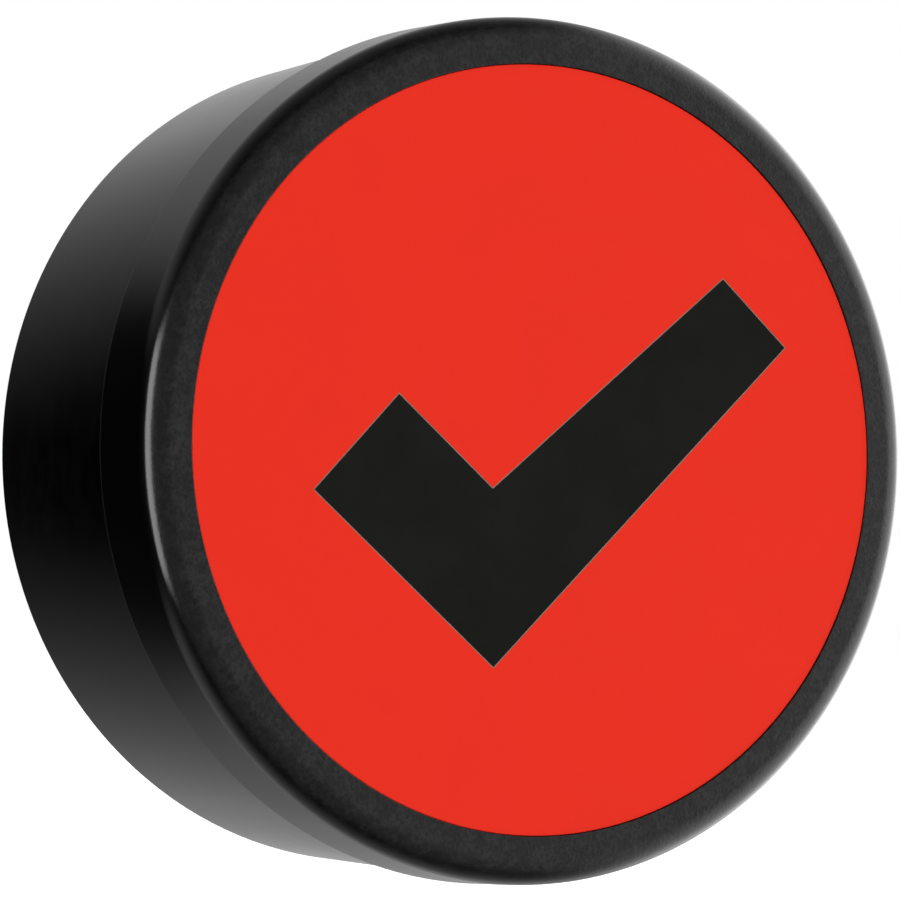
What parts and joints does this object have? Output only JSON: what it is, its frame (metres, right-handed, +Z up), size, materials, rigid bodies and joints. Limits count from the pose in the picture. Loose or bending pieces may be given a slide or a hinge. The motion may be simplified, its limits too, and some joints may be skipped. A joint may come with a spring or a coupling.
{
  "type": "flush push button",
  "caption": "Round flush push button: a red cap with a black tick inlay in a black bezel ring on a slightly narrower black housing.",
  "frame": {"origin": "centre of the rear plane, midway between the two threaded inserts", "axes": "+Y out of the rear face towards the wall, -Y the way the red cap faces, +Z up as the tick reads, +X to the right seen from the front"},
  "size_m": [0.06, 0.026, 0.06],
  "materials": {
    "ring_black": "fine spark-eroded grain, satin",
    "shell_black": "finer grain, satin, smoother than the ring",
    "cap_red": "flat signal red, smooth satin",
    "tick_black": "second shot, satin black",
    "rear_black": "moulded, medium grain",
    "door_black": "moulded, medium grain with a turned sheen",
    "nylon_black": "glass-filled nylon, matt",
    "acetal_black": "acetal, smooth",
    "acetal_natural": "natural acetal, smooth",
    "rubber_black": "nitrile rubber, matt",
    "zinc_steel": "bright zinc plate",
    "black_steel": "black zinc plate, countersunk",
    "spring_steel": "drawn stainless wire",
    "insert_brass": "turned brass",
    "board_green": "solder mask over glass-epoxy",
    "chip_black": "moulded epoxy",
    "shield_tin": "tinned steel",
    "ceramic_tan": "fired ceramic",
    "ceramic_white": "fired ceramic",
    "cell_steel": "nickel-plated can",
    "contact_nickel": "nickel-plated spring bronze"
  },
  "bodies": {
    "housing": {"bezel_ring": "ring_black", "body_shell": "shell_black", "guide_bushes": "acetal_natural", "return_springs": "spring_steel", "wiper_seal": "rubber_black", "bezel_o_ring": "rubber_black", "base_o_ring": "rubber_black", "battery_door_o_ring": "rubber_black", "deck_plate": "nylon_black", "deck_screws": "zinc_steel", "base_screws": "black_steel", "circuit_board": "board_green", "board_screws": "zinc_steel", "switch_body": "nylon_black", "radio_module": "shield_tin", "controller_chip": "chip_black", "crystal": "shield_tin", "chip_capacitors": "ceramic_tan", "antenna": "ceramic_white", "battery_holder": "nylon_black", "battery_cell": "cell_steel", "battery_clip_plus": "contact_nickel", "battery_leaf_minus": "contact_nickel", "base_cover": "rear_black", "thread_inserts": "insert_brass"},
    "cap": {"button_cap": "cap_red", "tick_inlay": "tick_black", "cap_carrier": "acetal_black", "post_washers": "zinc_steel", "post_screws": "zinc_steel"},
    "switch_plunger": {"switch_plunger": "acetal_natural"},
    "battery_door": {"battery_door": "door_black"}
  },
  "joints": [
    {"name": "cap_press", "type": "slide", "parent": "housing", "child": "cap", "axis": [0, 1, 0], "range_m": [0, 0.0012], "stiffness_N_per_m": 1800, "springref_m": -0.0015, "deforming": ["return_springs"]},
    {"name": "switch_plunger_press", "type": "slide", "parent": "housing", "child": "switch_plunger", "axis": [0, 1, 0], "range_m": [0, 0.0012], "stiffness_N_per_m": 200, "springref_m": -0.001},
    {"name": "battery_door_turn", "type": "hinge", "parent": "housing", "child": "battery_door", "pos_m": [0, 0, 0], "axis": [0, 1, 0], "range_deg": [0, 40]}
  ],
  "couplings": [
    {"joint": "switch_plunger_press", "follows": "cap_press", "ratio": 1}
  ]
}
